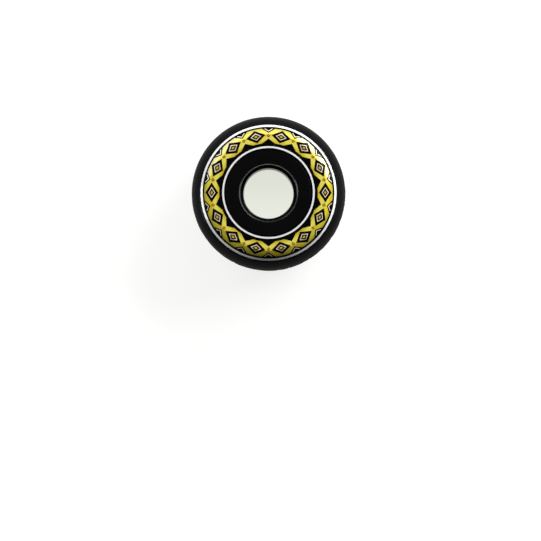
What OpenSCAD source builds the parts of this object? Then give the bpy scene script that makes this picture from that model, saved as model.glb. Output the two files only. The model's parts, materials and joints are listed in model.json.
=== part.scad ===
// Inline skate wheel: a urethane tyre cast round a hard moulded core.
// It lies on its plain side, the printed face looks up, and the axis is Z.
// The origin is the wheel's centre, on the axis, midway between the side faces.

/* [Wheel] */
// Diameter over the tread
wheel_d = 60; // [56:0.5:68]
// Width over the side faces
wheel_w = 24; // [23:0.5:26]
// Width of the flat tread band
tread_w = 8.1; // [6:0.1:11]
// Diameter of the flat side faces, where the round shoulders end in a crisp corner
face_d = 44.8; // [44:0.1:46]
// Radius of the round shoulders between the tread and the side faces
shoulder_r = 15; // [13:0.5:20]

/* [Parting line] */
// Height of the moulding flash that runs round the tread
flash_h = 0.3; // [0.1:0.05:0.5]
// Width of the flash where it leaves the tread
flash_w = 0.5; // [0.3:0.1:1]

/* [Core] */
// Diameter of the two bearing seats
seat_d = 22; // [21.9:0.01:22.1]
// Depth of each bearing seat, equal to the bearing's width
seat_depth = 7; // [6:0.1:8]
// Diameter of the hole through the land between the seats
land_d = 19.6; // [18:0.1:20.5]
// Diameter of the core where it shows on the side faces
core_d = 32.8; // [30:0.2:34]
// How much each side of the core widens from its face down to the anchoring flange
core_draft = 0.6; // [0.3:0.1:1]
// Diameter of the hidden flange that anchors the urethane
flange_d = 43; // [40:0.5:46]
// Thickness of the flange at its rim
flange_w = 4; // [3:0.5:6]
// Number of holes that the urethane flows through
anchor_count = 12; // [8:1:16]
// Diameter of those holes
anchor_d = 3; // [2:0.1:3.4]

/* [Print] */
// Height of the ink above the surface
ink_h = 0.1; // [0.06:0.01:0.15]
// Diameter of the inner white circle, along its middle
white_inner_d = 35; // [34.6:0.1:36]
// Width of the inner white circle
white_inner_w = 0.7; // [0.4:0.1:0.9]
// Diameter of the outer white circle, along its middle
white_outer_d = 51.8; // [51.2:0.1:53]
// Width of the outer white circle
white_outer_w = 0.8; // [0.4:0.1:1]
// Inner diameter of the yellow band
band_inner_d = 38; // [37.6:0.1:39]
// Outer diameter of the yellow band
band_outer_d = 49.6; // [49:0.1:50]
// Number of lozenges round the band
motif_count = 14; // [12:1:16]

/* [Hidden] */
$fn = 192;

// Half sizes that the sections are drawn from
wheel_r = wheel_d / 2;
half_w = wheel_w / 2;
half_tread = tread_w / 2;
seat_r = seat_d / 2;
land_r = land_d / 2;
half_land = half_w - seat_depth;
core_r = core_d / 2;
core_root_r = core_r + core_draft;
mid_core_r = (seat_r + core_r) / 2;
flange_r = flange_d / 2;
half_flange = flange_w / 2;

// Small edges of the mouldings
flash_tip_w = 0.15;
seat_lead = 0.4;
land_lead = 0.3;
joint_edge = 0.15;
flange_fillet = 1.2;
flange_edge = 0.6;
flange_slope = 0.4;
anchor_r = (core_root_r + flange_r) / 2;

// Centre of the upper shoulder's arc, in radius and height, from the arc's two ends and its radius
function arc_centre(low_end, high_end, radius) =
    let (run = high_end - low_end)
    let (inward = [-run.y, run.x] / norm(run))
    (low_end + high_end) / 2 + inward * sqrt(pow(radius, 2) - pow(norm(run) / 2, 2));
shoulder_centre = arc_centre([wheel_r, half_tread], [face_d / 2, half_w], shoulder_r);

// Room that the cutting shapes leave round the wheel
spare = 10;
reach = wheel_r + spare;

// Sizes of the printed band and of each motif's place on its middle circle
band_w = (band_outer_d - band_inner_d) / 2;
band_mid_r = (band_inner_d + band_outer_d) / 4;
band_margin = 0.4;
motif_pitch = 360 / motif_count;
motif_step = 2 * PI * band_mid_r / motif_count;

// Shares of the motif's place that the lozenges and teeth take, and of the band's width that the teeth take
lozenge_share = 0.78;
tooth_outer_share = 0.7;
tooth_inner_share = 0.58;
tooth_h_share = 0.31;

// Sizes inside the motifs
lozenge_long = band_w - 2 * band_margin;
lozenge_wide = lozenge_share * motif_step;
outline_inset = 0.95;
outline_w = 0.24;
core_share = 0.2;
spot_size = 0.6;
spot_border = 0.2;
tooth_h = tooth_h_share * band_w;
tooth_outer_w = tooth_outer_share * motif_step;
tooth_inner_w = tooth_inner_share * motif_step;
tooth_start = 0.4;
chevron_inset = 0.5;
chevron_w = 0.24;
chevron_end = 0.12;

// What the upper shoulder's arc leaves of the section
module under_upper_shoulder(grow) {
    translate(shoulder_centre) circle(r = shoulder_r + grow);
    translate([0, -reach]) square([shoulder_centre.x, 2 * reach]);
    translate([0, -reach]) square([reach, reach + shoulder_centre.y]);
}

// Right half of the wheel's whole outline, grown outwards by the given amount
module wheel_outline(grow) {
    intersection() {
        translate([0, -half_w - grow]) square([wheel_r + grow, wheel_w + 2 * grow]);
        under_upper_shoulder(grow);
        mirror([0, 1]) under_upper_shoulder(grow);
    }
}

// Section of the thin flash that the two mould halves leave on the tread
module flash_section() {
    polygon([
        [wheel_r - flash_h, -flash_w / 2],
        [wheel_r, -flash_w / 2],
        [wheel_r + flash_h, -flash_tip_w / 2],
        [wheel_r + flash_h, flash_tip_w / 2],
        [wheel_r, flash_w / 2],
        [wheel_r - flash_h, flash_w / 2]
    ]);
}

// Upper half of the core's section, from the bore to the anchoring flange
module core_half_section() {
    difference() {
        polygon([
            [land_r, 0],
            [land_r, half_land - land_lead],
            [land_r + land_lead, half_land],
            [seat_r, half_land],
            [seat_r, half_w - seat_lead],
            [seat_r + seat_lead, half_w],
            [core_r - joint_edge, half_w],
            [core_r, half_w - joint_edge],
            [core_root_r, half_flange + flange_slope + flange_fillet],
            [core_root_r + flange_fillet, half_flange + flange_slope],
            [flange_r - flange_edge, half_flange],
            [flange_r, half_flange - flange_edge],
            [flange_r, 0]
        ]);
        translate([core_root_r + flange_fillet, half_flange + flange_slope + flange_fillet])
            circle(r = flange_fillet);
    }
}

// The whole core as a solid, which also gives the hollow that the urethane fills round it
module core_body() {
    difference() {
        rotate_extrude() {
            core_half_section();
            mirror([0, 1]) core_half_section();
        }
        for (k = [0 : anchor_count - 1])
            rotate([0, 0, (k + 0.5) * 360 / anchor_count])
                translate([anchor_r, 0, -half_w])
                    cylinder(d = anchor_d, h = wheel_w);
    }
}

// Core: the hard moulding that the bearings sit in
module hub() {
    color([0.06, 0.06, 0.07]) core_body();
}

// Tyre: the wheel's outline less the core, with the small edge where the two meet on each face
module tyre() {
    color([0.03, 0.03, 0.04])
        difference() {
            rotate_extrude()
                difference() {
                    union() {
                        wheel_outline(0);
                        flash_section();
                    }
                    translate([0, -wheel_w]) square([mid_core_r, 2 * wheel_w]);
                    face_joint();
                    mirror([0, 1]) face_joint();
                }
            core_body();
        }
}

// Section of the shallow groove between the core and the urethane on the upper face
module face_joint() {
    translate([0, half_w - joint_edge])
        polygon([
            [mid_core_r, 0],
            [core_r, 0],
            [core_r + joint_edge, joint_edge],
            [core_r + joint_edge, 2 * joint_edge],
            [mid_core_r, 2 * joint_edge]
        ]);
}

// Keeps what the given flat pattern covers of a layer of ink on the upper face and shoulder
module printed() {
    intersection() {
        rotate_extrude()
            intersection() {
                difference() {
                    wheel_outline(ink_h);
                    wheel_outline(0);
                }
                square([reach, reach]);
            }
        linear_extrude(height = wheel_w) children();
    }
}

// Flat ring between two circles
module flat_ring(inner_r, outer_r) {
    difference() {
        circle(r = outer_r);
        circle(r = inner_r);
    }
}

// Flat ring given by its middle diameter and its width
module line_ring(line_d, line_w) {
    flat_ring(line_d / 2 - line_w / 2, line_d / 2 + line_w / 2);
}

// Places a motif on the band's middle circle once for every step, with its long way along the radius
module round_band(turn) {
    for (k = [0 : motif_count - 1])
        rotate([0, 0, (k + turn) * motif_pitch])
            translate([band_mid_r, 0])
                children();
}

// Lozenge centred on the band's middle circle, long along the radius and wide across it
module lozenge(long, wide) {
    polygon([[long / 2, 0], [0, wide / 2], [-long / 2, 0], [0, -wide / 2]]);
}

// A lozenge whose sides lie the given distance inside those of the large one
module inset_lozenge(inset) {
    side = sqrt(pow(lozenge_long, 2) + pow(lozenge_wide, 2));
    share = 1 - 2 * inset * side / (lozenge_long * lozenge_wide);
    lozenge(lozenge_long * share, lozenge_wide * share);
}

// Dark teeth that point into the band from its two edges, between the lozenges
module band_teeth() {
    translate([band_w / 2, 0])
        polygon([
            [tooth_start, tooth_outer_w / 2],
            [tooth_start, -tooth_outer_w / 2],
            [-tooth_h, 0]
        ]);
    translate([-band_w / 2, 0])
        polygon([
            [-tooth_start, -tooth_inner_w / 2],
            [-tooth_start, tooth_inner_w / 2],
            [tooth_h, 0]
        ]);
}

// Light chevron inside each outer tooth, its arms parallel to the tooth's two sides
module tooth_chevron() {
    half_angle = atan2(tooth_outer_w / 2, tooth_h + tooth_start);
    tip = -tooth_h + chevron_inset / sin(half_angle);
    notch = tip + chevron_w / sin(half_angle);
    tip_reach = (-chevron_end - tip) * tan(half_angle);
    notch_reach = (-chevron_end - notch) * tan(half_angle);
    translate([band_w / 2, 0])
        polygon([
            [tip, 0],
            [-chevron_end, -tip_reach],
            [-chevron_end, -notch_reach],
            [notch, 0],
            [-chevron_end, notch_reach],
            [-chevron_end, tip_reach]
        ]);
}

// Small square on its corner between two lozenges, grown on each side by the given border
module spot(border) {
    side = spot_size + 2 * border;
    rotate([0, 0, 45]) square([side, side], center = true);
}

// White ink: two thin circles, inside and outside the band
module print_white() {
    color([0.93, 0.93, 0.92]) {
        printed() line_ring(white_inner_d, white_inner_w);
        printed() line_ring(white_outer_d, white_outer_w);
    }
}

// Yellow ink: the band less all that stays dark or takes another colour
module print_yellow() {
    color([0.92, 0.78, 0.16])
        printed()
            difference() {
                flat_ring(band_inner_d / 2, band_outer_d / 2);
                round_band(0) lozenge(lozenge_long, lozenge_wide);
                round_band(0.5) band_teeth();
                round_band(0.5) spot(spot_border);
            }
}

// Cream ink: an outline inside each lozenge and a chevron inside each outer tooth
module print_cream() {
    color([0.93, 0.87, 0.66])
        printed() {
            round_band(0)
                difference() {
                    inset_lozenge(outline_inset);
                    inset_lozenge(outline_inset + outline_w);
                }
            round_band(0.5) tooth_chevron();
        }
}

// Gold ink: the heart of each lozenge and the spots between the lozenges
module print_gold() {
    color([0.80, 0.50, 0.16])
        printed() {
            round_band(0) lozenge(lozenge_long * core_share, lozenge_wide * core_share);
            round_band(0.5) spot(0);
        }
}

hub();
tyre();
print_white();
print_yellow();
print_cream();
print_gold();
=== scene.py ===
"""Looks of a black urethane inline skate wheel that lies on its plain side, printed face up."""

import json
import math
import random

import bmesh
import bpy
from mathutils import Matrix, Vector

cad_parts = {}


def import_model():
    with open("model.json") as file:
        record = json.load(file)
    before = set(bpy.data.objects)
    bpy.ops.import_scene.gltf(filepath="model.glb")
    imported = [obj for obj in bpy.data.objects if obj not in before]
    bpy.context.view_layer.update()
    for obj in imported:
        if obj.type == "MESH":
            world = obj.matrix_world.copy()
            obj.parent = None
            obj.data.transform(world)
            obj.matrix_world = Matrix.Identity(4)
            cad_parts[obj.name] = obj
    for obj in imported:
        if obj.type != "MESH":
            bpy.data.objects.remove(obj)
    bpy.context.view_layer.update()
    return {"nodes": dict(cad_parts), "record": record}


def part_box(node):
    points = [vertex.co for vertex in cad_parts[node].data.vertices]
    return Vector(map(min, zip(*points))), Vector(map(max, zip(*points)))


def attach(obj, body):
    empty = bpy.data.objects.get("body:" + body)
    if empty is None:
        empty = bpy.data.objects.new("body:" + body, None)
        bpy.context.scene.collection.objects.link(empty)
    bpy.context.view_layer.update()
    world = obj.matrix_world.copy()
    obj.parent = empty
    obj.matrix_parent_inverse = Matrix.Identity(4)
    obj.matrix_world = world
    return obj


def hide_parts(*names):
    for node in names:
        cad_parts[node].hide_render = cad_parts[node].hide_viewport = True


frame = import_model()

# All sizes below are millimetres in the part's own frame; MM turns them into metres
MM = 0.001


def box_mm(node):
    low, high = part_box(node)
    return low / MM, high / MM


def mount_radius(name):
    mount = next(m for m in frame["record"]["mounts"] if m["name"] == name)
    return mount["dims"]["r_mm"]


# Main sizes, from the frame
HALF_W = box_mm("tyre")[1].z
FLASH_R = box_mm("tyre")[1].x
FLANGE_R = box_mm("hub")[1].x
SEAT_R = mount_radius("upper_seat")
LAND_R = mount_radius("land_bore")

# Section of the tyre
FLASH_H = 0.3
FLASH_W = 0.5
FLASH_TIP_W = 0.15
TREAD_R = FLASH_R - FLASH_H
HALF_TREAD = 4.05
FACE_R = 22.4
SHOULDER_R = 15
FACE_CORNER_R = 0.18
TREAD_CORNER_R = 0.25

# Section of the core
CORE_R = 16.4
ROOT_R = 17.0
HALF_LAND = 5
HALF_FLANGE = 2
SEAT_LEAD = 0.4
LAND_LEAD = 0.3
JOINT_EDGE = 0.15
FLANGE_FILLET = 1.2
FLANGE_EDGE = 0.6
FLANGE_SLOPE = 0.4
CORE_EDGE_R = 0.25

# Round holes in the core's flange, and half lengths of the urethane's pins and of the holes' cutters
ANCHOR_COUNT = 12
ANCHOR_R = (ROOT_R + FLANGE_R) / 2
ANCHOR_HOLE_R = 1.5
PIN_HALF = 3.2
CUTTER_HALF = 5

# Fineness of the meshes
TYRE_SECTORS = 720
HUB_SECTORS = 360
SHOULDER_STEPS = 22
FILLET_STEPS = 6
CORNER_STEPS = 4
PIN_SIDES = 24
CREASE_DEGREES = 34

# Points closer than this after a boolean are one point
WELD_GAP = 0.0005


# Sections

def arc(centre, radius, start, end, steps):
    """Points on an arc, from the start angle to the end angle in degrees, both ends included."""
    turns = [math.radians(start + (end - start) * k / steps) for k in range(steps + 1)]
    return [(centre[0] + radius * math.cos(a), centre[1] + radius * math.sin(a)) for a in turns]


def arc_between(low_end, high_end, radius, steps):
    """Points of the outward arc of the given radius between two points of the section."""
    low, high = Vector(low_end), Vector(high_end)
    run = high - low
    inward = Vector((-run.y, run.x)).normalized()
    centre = (low + high) / 2 + inward * math.sqrt(radius ** 2 - (run.length / 2) ** 2)
    first, last = low - centre, high - centre
    start = math.degrees(math.atan2(first.y, first.x))
    end = math.degrees(math.atan2(last.y, last.x))
    return arc(centre, radius, start, end, steps)


def rounded(points, radius, at):
    """Rounds the corners of a polyline whose indices are given, with a small radius."""
    result = []
    for k, point in enumerate(points):
        if k not in at:
            result.append(point)
            continue
        here = Vector(point)
        back = (Vector(points[k - 1]) - here).normalized()
        ahead = (Vector(points[(k + 1) % len(points)]) - here).normalized()
        half = back.angle(ahead) / 2
        setback = radius / math.tan(half)
        centre = here + (back + ahead).normalized() * (radius / math.sin(half))
        first = here + back * setback - centre
        last = here + ahead * setback - centre
        for step in range(CORNER_STEPS + 1):
            spoke = first.slerp(last, step / CORNER_STEPS)
            result.append(tuple(centre + spoke * radius))
    return result


def mirrored(points):
    """The same points on the lower side, in the order that carries the outline on."""
    return [(r, -z) for r, z in reversed(points)]


def core_wall():
    """The core's outer wall that the urethane lies on, from the upper face down to the lower one."""
    fillet_centre = (ROOT_R + FLANGE_FILLET, HALF_FLANGE + FLANGE_SLOPE + FLANGE_FILLET)
    upper = [(CORE_R, HALF_W - JOINT_EDGE)]
    upper += arc(fillet_centre, FLANGE_FILLET, start=180, end=270, steps=FILLET_STEPS)
    upper += [(FLANGE_R - FLANGE_EDGE, HALF_FLANGE), (FLANGE_R, HALF_FLANGE - FLANGE_EDGE)]
    return upper + mirrored(upper)


def hub_section():
    bore = [
        (LAND_R, HALF_LAND - LAND_LEAD),
        (LAND_R + LAND_LEAD, HALF_LAND),
        (SEAT_R, HALF_LAND),
        (SEAT_R, HALF_W - SEAT_LEAD),
        (SEAT_R + SEAT_LEAD, HALF_W),
        (CORE_R - JOINT_EDGE, HALF_W),
    ]
    land_edge = 1
    seat_edges = (3, 4)
    bore = rounded(bore, CORE_EDGE_R, at=(land_edge, *seat_edges))
    return bore + core_wall() + mirrored(bore)


def tyre_section():
    shoulder = arc_between((TREAD_R, HALF_TREAD), (FACE_R, HALF_W), SHOULDER_R, SHOULDER_STEPS)
    upper = [(CORE_R + JOINT_EDGE, HALF_W)] + shoulder[::-1]
    upper += [(TREAD_R, FLASH_W / 2), (FLASH_R, FLASH_TIP_W / 2)]
    face_corner = 1
    tread_corner = 1 + SHOULDER_STEPS
    upper = rounded(upper, TREAD_CORNER_R, at=(tread_corner,))
    upper = rounded(upper, FACE_CORNER_R, at=(face_corner,))
    return upper + mirrored(upper) + core_wall()[::-1]


# Meshes

def mesh_object(name, mesh):
    piece = bpy.data.objects.new(name, mesh)
    bpy.context.scene.collection.objects.link(piece)
    return piece


def built(name, work):
    """Makes an object of what was built in the bmesh, and frees the bmesh."""
    mesh = bpy.data.meshes.new(name)
    work.to_mesh(mesh)
    work.free()
    return mesh_object(name, mesh)


def turned(name, section, sectors, shape=None):
    """A closed solid of revolution about Z; shape may move a point, given angle, radius and height."""
    work = bmesh.new()
    rings = []
    for k in range(sectors):
        angle = 2 * math.pi * k / sectors
        points = [shape(angle, r, z) for r, z in section] if shape else section
        rings.append([
            work.verts.new((r * math.cos(angle) * MM, r * math.sin(angle) * MM, z * MM))
            for r, z in points
        ])
    count = len(section)
    for here, there in zip(rings, rings[1:] + rings[:1]):
        for p in range(count):
            q = (p + 1) % count
            work.faces.new((here[p], there[p], there[q], here[q]))
    bmesh.ops.recalc_face_normals(work, faces=work.faces)
    return built(name, work)


def anchor_pins(name, half_length):
    """Round pins in the places of the flange's holes, as one mesh."""
    work = bmesh.new()
    for k in range(ANCHOR_COUNT):
        angle = 2 * math.pi * (k + 0.5) / ANCHOR_COUNT
        made = bmesh.ops.create_cone(
            work,
            cap_ends=True,
            segments=PIN_SIDES,
            radius1=ANCHOR_HOLE_R * MM,
            radius2=ANCHOR_HOLE_R * MM,
            depth=2 * half_length * MM,
        )
        centre = Vector((math.cos(angle), math.sin(angle), 0)) * (ANCHOR_R * MM)
        bmesh.ops.translate(work, verts=made["verts"], vec=centre)
    return built(name, work)


def combine(piece, tool, operation):
    """Cuts the tool out of the piece or joins it to it, welds the result and removes the tool."""
    modifier = piece.modifiers.new("combine", "BOOLEAN")
    modifier.operation = operation
    modifier.solver = "EXACT"
    modifier.object = tool
    graph = bpy.context.evaluated_depsgraph_get()
    result = bpy.data.meshes.new_from_object(piece.evaluated_get(graph))
    piece.modifiers.clear()
    old = piece.data
    piece.data = result
    bpy.data.meshes.remove(old)
    bpy.data.objects.remove(tool)
    work = bmesh.new()
    work.from_mesh(result)
    bmesh.ops.remove_doubles(work, verts=work.verts, dist=WELD_GAP * MM)
    work.to_mesh(result)
    work.free()


def smooth(piece):
    piece.data.shade_smooth()
    piece.data.set_sharp_from_angle(angle=math.radians(CREASE_DEGREES))


# Uneven edge of the mould's flash, in shares of its full height
FLASH_SEED = 60
MEAN_HEIGHT = 0.72
LEAST_HEIGHT = 0.08
WAVE_COUNTS = (5, 9, 17, 31, 53)
WAVE_SIZES = (0.02, 0.06)
NICK_COUNT = 30
NICK_DEPTHS = (0.2, 0.6)

# Half widths of the nicks, as angles in radians
NICK_HALF_WIDTHS = (0.012, 0.026)

# How far the flash wanders off the middle of the tread, as waves of a count, a start and a size
FLASH_WANDER = ((7, 1, 0.04), (23, 0, 0.03))

# A point of the section that stands higher than this over the tread is on the flash
FLASH_FOOT = 0.01

dice = random.Random(FLASH_SEED)
FLASH_WAVES = [
    (count, dice.uniform(0, 2 * math.pi), dice.uniform(*WAVE_SIZES))
    for count in WAVE_COUNTS
]
FLASH_NICKS = [
    (dice.uniform(0, 2 * math.pi), dice.uniform(*NICK_HALF_WIDTHS), dice.uniform(*NICK_DEPTHS))
    for _ in range(NICK_COUNT)
]


def waves(angle, table):
    """Sum of sine waves round the wheel, each given by its count, start and size."""
    return sum(size * math.sin(count * angle + start) for count, start, size in table)


def flash_height(angle):
    """Share of the flash's full height that stands at this angle round the tread."""
    height = MEAN_HEIGHT + waves(angle, FLASH_WAVES)
    for centre, half_width, depth in FLASH_NICKS:
        gap = abs((angle - centre + math.pi) % (2 * math.pi) - math.pi)
        if gap < half_width:
            height -= depth * (1 - gap / half_width)
    return min(1.0, max(LEAST_HEIGHT, height))


def uneven_flash(angle, r, z):
    """Where a point of the tyre's section lies at this angle; only the flash's points move."""
    if r <= TREAD_R + FLASH_FOOT:
        return r, z
    return TREAD_R + (r - TREAD_R) * flash_height(angle), z + waves(angle, FLASH_WANDER)


# Materials

# The mix node's sockets for each type of value: the first value, the second one and the result
MIX_SOCKETS = {"RGBA": (6, 7, 2), "FLOAT": (2, 3, 0)}


class Finish:
    """A new material with short helpers for building its nodes; lengths in it are millimetres."""

    def __init__(self, name, specular):
        self.material = bpy.data.materials.new(name)
        self.material.use_nodes = True
        self.tree = self.material.node_tree
        self.shader = self.tree.nodes["Principled BSDF"]
        self.shader.inputs["Specular IOR Level"].default_value = specular
        self.place = self.add("ShaderNodeTexCoord").outputs["Object"]
        length = self.add("ShaderNodeVectorMath", operation="LENGTH")
        self.feed(length.inputs[0], self.scaled((1 / MM, 1 / MM, 0)))
        self.radius = length.outputs["Value"]

    def add(self, kind, **settings):
        node = self.tree.nodes.new(kind)
        for key, value in settings.items():
            setattr(node, key, value)
        return node

    def feed(self, socket, value):
        """Links another node's output to the socket, or sets the socket to a constant."""
        if isinstance(value, bpy.types.NodeSocket):
            self.tree.links.new(value, socket)
        elif isinstance(value, tuple) and socket.type == "RGBA":
            socket.default_value = (*value, 1)
        else:
            socket.default_value = value

    def scaled(self, factors):
        """The place on the part, with each coordinate multiplied by its own factor."""
        node = self.add("ShaderNodeVectorMath", operation="MULTIPLY")
        self.feed(node.inputs[0], self.place)
        self.feed(node.inputs[1], factors)
        return node.outputs[0]

    def coordinate(self, axis):
        """The place on the part along one of its axes."""
        apart = self.add("ShaderNodeSeparateXYZ")
        self.feed(apart.inputs[0], self.place)
        return self.math("MULTIPLY", apart.outputs[axis], 1 / MM)

    def math(self, operation, *values):
        node = self.add("ShaderNodeMath", operation=operation)
        for socket, value in zip(node.inputs, values):
            self.feed(socket, value)
        return node.outputs[0]

    def noise(self, size, detail, roughness=0.5, squeeze=None):
        """Noise from 0 to 1 in blotches about the given size across, or squeezed along each axis."""
        node = self.add("ShaderNodeTexNoise")
        self.feed(node.inputs["Vector"], self.scaled(squeeze) if squeeze else self.place)
        node.inputs["Scale"].default_value = 1 / (size * MM)
        node.inputs["Detail"].default_value = detail
        node.inputs["Roughness"].default_value = roughness
        return node.outputs["Fac"]

    def fade(self, value, start, end, low=0.0, high=1.0):
        """A smooth change from low to high as the value goes from start to end."""
        node = self.add("ShaderNodeMapRange", interpolation_type="SMOOTHSTEP")
        sockets = ("Value", "From Min", "From Max", "To Min", "To Max")
        for socket, number in zip(sockets, (value, start, end, low, high)):
            self.feed(node.inputs[socket], number)
        return node.outputs["Result"]

    def fall(self, value, start, end):
        """A smooth change from 1 to 0 as the value goes from start to end."""
        return self.fade(value, start, end, low=1.0, high=0.0)

    def within(self, value, low, high, soft):
        """1 where the value lies between low and high, with soft ends."""
        rise = self.fade(value, low - soft, low + soft)
        fall = self.fall(value, high - soft, high + soft)
        return self.math("MULTIPLY", rise, fall)

    def mix(self, kind, factor, first, second):
        node = self.add("ShaderNodeMix", data_type=kind)
        first_socket, second_socket, result = MIX_SOCKETS[kind]
        self.feed(node.inputs["Factor"], factor)
        self.feed(node.inputs[first_socket], first)
        self.feed(node.inputs[second_socket], second)
        return node.outputs[result]

    def blend(self, factor, first, second):
        """A change of colour from the first to the second as the factor goes from 0 to 1."""
        return self.mix("RGBA", factor, first, second)

    def level(self, factor, first, second):
        """A change of value from the first to the second as the factor goes from 0 to 1."""
        return self.mix("FLOAT", factor, first, second)

    def rings(self, pitch):
        """Fine circles about the axis, as a wave from 0 to 1 over the radius."""
        wave = self.math("SINE", self.math("MULTIPLY", self.radius, 2 * math.pi / pitch))
        return self.math("MULTIPLY_ADD", wave, 0.5, 0.5)

    def bump(self, height, depth, under=None):
        node = self.add("ShaderNodeBump")
        node.inputs["Distance"].default_value = depth * MM
        self.feed(node.inputs["Height"], height)
        if under is not None:
            self.feed(node.inputs["Normal"], under)
        return node.outputs["Normal"]

    def finish(self, colour, roughness, normal=None):
        self.feed(self.shader.inputs["Base Color"], colour)
        self.feed(self.shader.inputs["Roughness"], roughness)
        if normal is not None:
            self.feed(self.shader.inputs["Normal"], normal)
        return self.material


# Urethane: radii and heights over which one surface gives way to the next
TREAD_RISE = (TREAD_R - 0.12, TREAD_R - 0.02)
TREAD_EDGE = (HALF_TREAD - 0.1, HALF_TREAD + 0.1)
SIDE_EDGE = (FACE_R - 0.05, FACE_R + 0.1)
SIDE_RISE = (HALF_W - 0.3, HALF_W - 0.2)
FLASH_RISE = (TREAD_R + 0.03, TREAD_R + 0.12)
CRUMB_REACH = (0.2, 0.5)

# Urethane: colours, from dark to light where there are two, and roughness from low to high
URETHANE_BLACK = ((0.0014, 0.0014, 0.0016), (0.0024, 0.0024, 0.0027))
TREAD_BLACK = ((0.003, 0.0032, 0.0036), (0.014, 0.015, 0.016))
FLASH_GREY = (0.030, 0.031, 0.033)
CRUMB_GREY = (0.30, 0.305, 0.31)
SHOULDER_ROUGH = (0.09, 0.15)
SIDE_ROUGH = (0.30, 0.38)
TREAD_ROUGH = (0.46, 0.66)
CRUMB_ROUGH = 0.85

# Urethane: levels of noise over which the tread looks worn and crumbs appear
TREAD_WORN = (0.35, 0.65)
CRUMB_SPECKS = (0.60, 0.67)


def urethane():
    """Glossy rippled shoulders, satin sides, a matt lined tread, and pale crumbs along the flash."""
    f = Finish("urethane_black", specular=0.03)
    level = f.math("ABSOLUTE", f.coordinate("Z"))
    tread = f.math("MULTIPLY", f.fade(f.radius, *TREAD_RISE), f.fall(level, *TREAD_EDGE))
    side = f.math("MULTIPLY", f.fall(f.radius, *SIDE_EDGE), f.fade(level, *SIDE_RISE))
    cloud = f.noise(size=6, detail=3)
    gloss = f.noise(size=9, detail=2)
    grain = f.noise(size=0.35, detail=4, roughness=0.6)
    ripple = f.noise(size=1.8, detail=3)
    scuff = f.noise(size=1.4, detail=4, roughness=0.7, squeeze=(1, 1, 5))
    lines = f.noise(size=6, detail=3, roughness=0.6, squeeze=(1, 1, 14))
    specks = f.noise(size=0.9, detail=3, roughness=0.7)
    wear = f.math("MULTIPLY_ADD", grain, 0.5, f.math("MULTIPLY", lines, 0.5))
    speckled_tread = f.math("MULTIPLY", tread, f.fade(specks, *CRUMB_SPECKS))
    crumbs = f.math("MULTIPLY", f.fall(level, *CRUMB_REACH), speckled_tread)

    tread_colour = f.blend(f.fade(wear, *TREAD_WORN), *TREAD_BLACK)
    colour = f.blend(tread, f.blend(cloud, *URETHANE_BLACK), tread_colour)
    colour = f.blend(f.fade(f.radius, *FLASH_RISE), colour, FLASH_GREY)
    colour = f.blend(crumbs, colour, CRUMB_GREY)

    roughness = f.level(side, f.level(gloss, *SHOULDER_ROUGH), f.level(cloud, *SIDE_ROUGH))
    roughness = f.level(tread, roughness, f.level(scuff, *TREAD_ROUGH))
    roughness = f.level(crumbs, roughness, CRUMB_ROUGH)

    normal = f.bump(ripple, depth=0.080)
    normal = f.bump(f.math("MULTIPLY", tread, grain), depth=0.030, under=normal)
    normal = f.bump(f.math("MULTIPLY", tread, lines), depth=0.060, under=normal)
    normal = f.bump(f.math("MULTIPLY", side, f.rings(pitch=0.42)), depth=0.002, under=normal)
    return f.finish(colour, roughness, normal)


# Core: radii of the seats' edge and of the bore's end, and noise levels where that edge is paler, as
# scuffs and a painted highlight
SEAT_EDGE = (SEAT_R + 0.02, SEAT_R + SEAT_LEAD + 0.1)
BORE_END = (SEAT_R + 0.1, SEAT_R + 0.4)
EDGE_SCUFF_AND_SHEEN = (0.35, 0.65)

# Core: colours, from dark to light where there are two, and roughness from low to high
CORE_BLACK = ((0.0014, 0.0014, 0.0016), (0.0026, 0.0026, 0.0029))
# Paler black along the seats' edges, partly scuffs and partly a painted highlight
SCUFF_AND_SHEEN_BLACK = (0.010, 0.010, 0.011)
CORE_ROUGH = (0.20, 0.27)
BORE_ROUGH = 0.30


def core_plastic():
    """Satin plastic with a fine grain, paler in patches along the edges of the bearing seats, as
    scuffs and a painted highlight.
    """
    f = Finish("core_black", specular=0.45)
    grain = f.noise(size=0.25, detail=3, roughness=0.6)
    cloud = f.noise(size=5, detail=2)
    patches = f.noise(size=1.2, detail=3)
    edge = f.within(f.radius, *SEAT_EDGE, soft=0.06)
    # Scuffs and a painted highlight, in patches along the seats' edges
    scuff_and_sheen = f.math("MULTIPLY", edge, f.fade(patches, *EDGE_SCUFF_AND_SHEEN))
    colour = f.blend(scuff_and_sheen, f.blend(cloud, *CORE_BLACK), SCUFF_AND_SHEEN_BLACK)
    in_bore = f.fall(f.radius, *BORE_END)
    roughness = f.level(in_bore, f.level(grain, *CORE_ROUGH), BORE_ROUGH)
    normal = f.bump(grain, depth=0.006)
    normal = f.bump(f.rings(pitch=0.6), depth=0.002, under=normal)
    return f.finish(colour, roughness, normal)


# Inks: the two colours that each film varies between, its roughness and the noise levels of pinholes
WHITE_INK = ((0.80, 0.81, 0.82), (0.90, 0.90, 0.90))
CREAM_INK = ((0.86, 0.78, 0.50), (0.93, 0.88, 0.64))
GOLD_INK = ((0.55, 0.27, 0.05), (0.70, 0.40, 0.09))
YELLOW_INK = ((0.68, 0.54, 0.03), (0.80, 0.70, 0.075))
INK_ROUGH = (0.07, 0.19)
PINHOLES = (0.80, 0.84)
PINHOLE_BLACK = (0.01, 0.01, 0.01)

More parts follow.
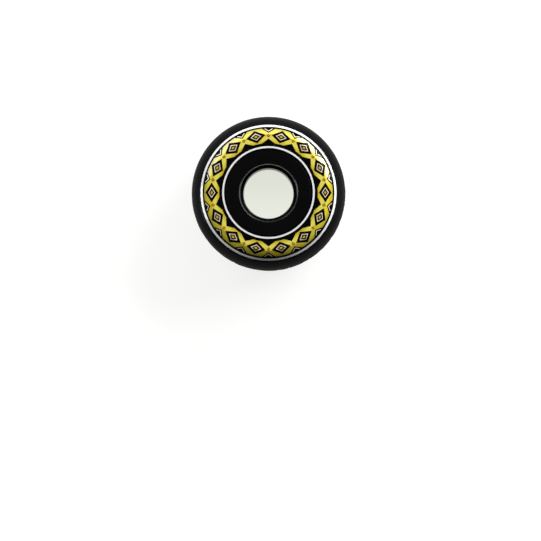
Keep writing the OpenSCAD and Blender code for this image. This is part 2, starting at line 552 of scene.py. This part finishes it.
# Yellow ink: the band's edges, and each further colour with where it lies and its greatest share
BAND_INNER = 19.0
BAND_OUTER = 24.8
DEEP_YELLOW = (0.74, 0.56, 0.03)
DEEP_PATCHES = (0.42, 0.66)
BRIGHT_YELLOW = (0.84, 0.78, 0.17)
BRIGHT_REACH = (BAND_INNER + 1.2, BAND_INNER + 2.6)
BRIGHT_SHARE = 0.6
OLIVE = (0.36, 0.31, 0.03)
OLIVE_REACH = (BAND_OUTER - 1.6, BAND_OUTER)
OLIVE_SHARE = 0.75
AMBER = (0.55, 0.40, 0.03)
AMBER_REACH = (BAND_INNER, BAND_INNER + 1.4)
AMBER_SHARE = 0.7


def ink(name, colour_of):
    """Glossy screen ink: an uneven film with rare pinholes that let the black through."""
    f = Finish(name, specular=0.5)
    film = f.noise(size=1.6, detail=3, roughness=0.55)
    pinholes = f.fade(f.noise(size=0.22, detail=1), *PINHOLES)
    colour = f.blend(pinholes, colour_of(f, film), PINHOLE_BLACK)
    normal = f.bump(film, depth=0.012)
    normal = f.bump(f.noise(size=0.3, detail=2), depth=0.002, under=normal)
    return f.finish(colour, f.level(film, *INK_ROUGH), normal)


def white_ink(f, film):
    return f.blend(film, *WHITE_INK)


def cream_ink(f, film):
    return f.blend(film, *CREAM_INK)


def gold_ink(f, film):
    return f.blend(film, *GOLD_INK)


def yellow_ink(f, film):
    """Bright along the band's middle, golden towards the core and olive towards the tread."""
    colour = f.blend(film, *YELLOW_INK)
    colour = f.blend(f.fade(f.noise(size=7, detail=2), *DEEP_PATCHES), colour, DEEP_YELLOW)
    bright = f.within(f.radius, *BRIGHT_REACH, soft=0.7)
    colour = f.blend(f.math("MULTIPLY", bright, BRIGHT_SHARE), colour, BRIGHT_YELLOW)
    colour = f.blend(f.fade(f.radius, *OLIVE_REACH, high=OLIVE_SHARE), colour, OLIVE)
    return f.blend(f.fade(f.radius, *AMBER_REACH, low=AMBER_SHARE, high=0.0), colour, AMBER)


def dress(piece, material):
    piece.data.materials.clear()
    piece.data.materials.append(material)


# Stage

# The floor: its size, how far it lies under the wheel, and its colour where the lamps light it
FLOOR_SIZE = 40000
FLOOR_GAP = 0.01
FLOOR_COLOUR = (0.34, 0.34, 0.33)

# The floor's glow at the bore's lower and upper end, dimmed there as painted shade under the wheel and
# darkest at the upper end, then round the wheel and far from it
BORE_SHADE_LOWER = (0.81, 0.83, 0.75)
BORE_SHADE_UPPER = (0.72, 0.74, 0.66)
GLOW_ROUND = (0.80, 0.80, 0.79)
GLOW_FAR = (1.0, 1.0, 1.0)

# Radii over which the bore's glow gives way to the one round the wheel, and that one to the far one
ROUND_REACH = (SEAT_R, HALF_W * 2)
FAR_REACH = (50, 200)

# The dim room around the lamps, and how far the lamps stand from the wheel
ROOM_COLOUR = (0.9, 0.95, 1.0)
ROOM_STRENGTH = 0.025
LAMP_DISTANCE = 600

# The photograph's width, the wheel's centre in it from the top left pixel's centre, and its scale
FRAME_PX = 541
WHEEL_PX = (268.05, 193.55)
PX_PER_MM = 2.543

# The camera
CAMERA_DISTANCE = 600
SENSOR = 36
CLIP_NEAR = 10
CLIP_FAR = 20000


def background_rays(tree):
    """1 for camera, mirror and transmission rays, which all see the pale background."""
    path = tree.nodes.new("ShaderNodeLightPath")
    total = path.outputs["Is Camera Ray"]
    for name in ("Is Glossy Ray", "Is Transmission Ray"):
        node = tree.nodes.new("ShaderNodeMath")
        node.operation = "MAXIMUM"
        tree.links.new(total, node.inputs[0])
        tree.links.new(path.outputs[name], node.inputs[1])
        total = node.outputs[0]
    return total


def floor():
    """Pale ground, a little dimmer round the wheel than far from it, so that it keeps the shadow, and
    with painted shade under the wheel where the bore shows it.
    """
    half = FLOOR_SIZE / 2 * MM
    level = -(HALF_W + FLOOR_GAP) * MM
    corners = [(x * half, y * half, level) for x, y in ((-1, -1), (1, -1), (1, 1), (-1, 1))]
    mesh = bpy.data.meshes.new("floor")
    mesh.from_pydata(corners, [], [(0, 1, 2, 3)])
    piece = mesh_object("floor", mesh)
    f = Finish("floor_pale", specular=0.0)
    # Painted shade: under the bore the floor glows dimmer than elsewhere, darker towards the bore's
    # upper end
    in_bore = f.blend(f.fade(f.coordinate("Y"), -SEAT_R, SEAT_R), BORE_SHADE_LOWER, BORE_SHADE_UPPER)
    near = f.blend(f.fade(f.radius, *ROUND_REACH), in_bore, GLOW_ROUND)
    glow = f.blend(f.fade(f.radius, *FAR_REACH), near, GLOW_FAR)
    f.feed(f.shader.inputs["Emission Color"], glow)
    f.feed(f.shader.inputs["Emission Strength"], background_rays(f.tree))
    dress(piece, f.finish(FLOOR_COLOUR, roughness=1.0))


def world():
    """The dim room around the lamps."""
    room = bpy.data.worlds.new("studio")
    bpy.context.scene.world = room
    room.use_nodes = True
    tree = room.node_tree
    tree.nodes.clear()
    output = tree.nodes.new("ShaderNodeOutputWorld")
    dim = tree.nodes.new("ShaderNodeBackground")
    dim.inputs["Color"].default_value = (*ROOM_COLOUR, 1)
    dim.inputs["Strength"].default_value = ROOM_STRENGTH
    tree.links.new(dim.outputs[0], output.inputs["Surface"])


def facing(right, above, back, location):
    """A transform whose axes are the given ones."""
    turn = Matrix((right, above, back)).transposed().to_4x4()
    turn.translation = location
    return turn


def softbox(name, bearing, off_axis, width, height, radiance):
    """A soft lamp aimed at the wheel: bearing clockwise from +Y, off_axis from +Z, both in degrees.

    The width and height are the angles that it covers as seen from the wheel.
    """
    a, e = math.radians(bearing), math.radians(off_axis)
    direction = Vector((math.sin(a) * math.sin(e), math.cos(a) * math.sin(e), math.cos(e)))
    distance = LAMP_DISTANCE * MM
    lamp = bpy.data.lights.new(name, "AREA")
    lamp.shape = "RECTANGLE"
    lamp.size = 2 * distance * math.tan(math.radians(width) / 2)
    lamp.size_y = 2 * distance * math.tan(math.radians(height) / 2)
    lamp.energy = radiance * math.pi * lamp.size * lamp.size_y
    lamp.normalize = True
    piece = bpy.data.objects.new(name, lamp)
    right = Vector((0, 0, 1)).cross(direction).normalized()
    above = direction.cross(right)
    piece.matrix_world = facing(right, above, direction, direction * distance)
    piece.visible_camera = False
    bpy.context.scene.collection.objects.link(piece)


def camera():
    """Looks straight down the wheel's axis, with the wheel high in the frame as in the photograph."""
    middle = (FRAME_PX - 1) / 2
    aside = (middle - WHEEL_PX[0]) / PX_PER_MM
    below = (middle - WHEEL_PX[1]) / PX_PER_MM
    data = bpy.data.cameras.new("camera")
    data.sensor_width = SENSOR
    data.lens = SENSOR * CAMERA_DISTANCE * PX_PER_MM / FRAME_PX
    data.clip_start = CLIP_NEAR * MM
    data.clip_end = CLIP_FAR * MM
    piece = bpy.data.objects.new("camera", data)
    piece.location = (aside * MM, -below * MM, CAMERA_DISTANCE * MM)
    bpy.context.scene.collection.objects.link(piece)
    bpy.context.scene.camera = piece


# The wheel

tyre = turned("tyre_cast", tyre_section(), TYRE_SECTORS, uneven_flash)
combine(tyre, anchor_pins("pins_joined", PIN_HALF), "UNION")
hub = turned("hub_moulded", hub_section(), HUB_SECTORS)
combine(hub, anchor_pins("pins_cut", CUTTER_HALF), "DIFFERENCE")
for piece, node, slot_name, material in (
    (tyre, "tyre", "urethane", urethane()),
    (hub, "hub", "core_plastic", core_plastic()),
):
    smooth(piece)
    dress(piece, material)
    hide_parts(node)
    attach(piece, "root")

for node, colour_of in (
    ("print_white", white_ink),
    ("print_yellow", yellow_ink),
    ("print_cream", cream_ink),
    ("print_gold", gold_ink),
):
    frame["nodes"][node].data.materials[0] = ink(node.replace("print", "ink"), colour_of)

floor()
world()
softbox("box_right", bearing=50, off_axis=67, width=46, height=17, radiance=20)
softbox("box_left", bearing=309, off_axis=67, width=46, height=17, radiance=8)
softbox("box_top", bearing=0, off_axis=65, width=40, height=19, radiance=3)
softbox("side_left", bearing=264, off_axis=84, width=30, height=16, radiance=8)
softbox("side_right", bearing=92, off_axis=84, width=30, height=16, radiance=4.5)
camera()

scene = bpy.context.scene
scene.view_settings.view_transform = "Standard"
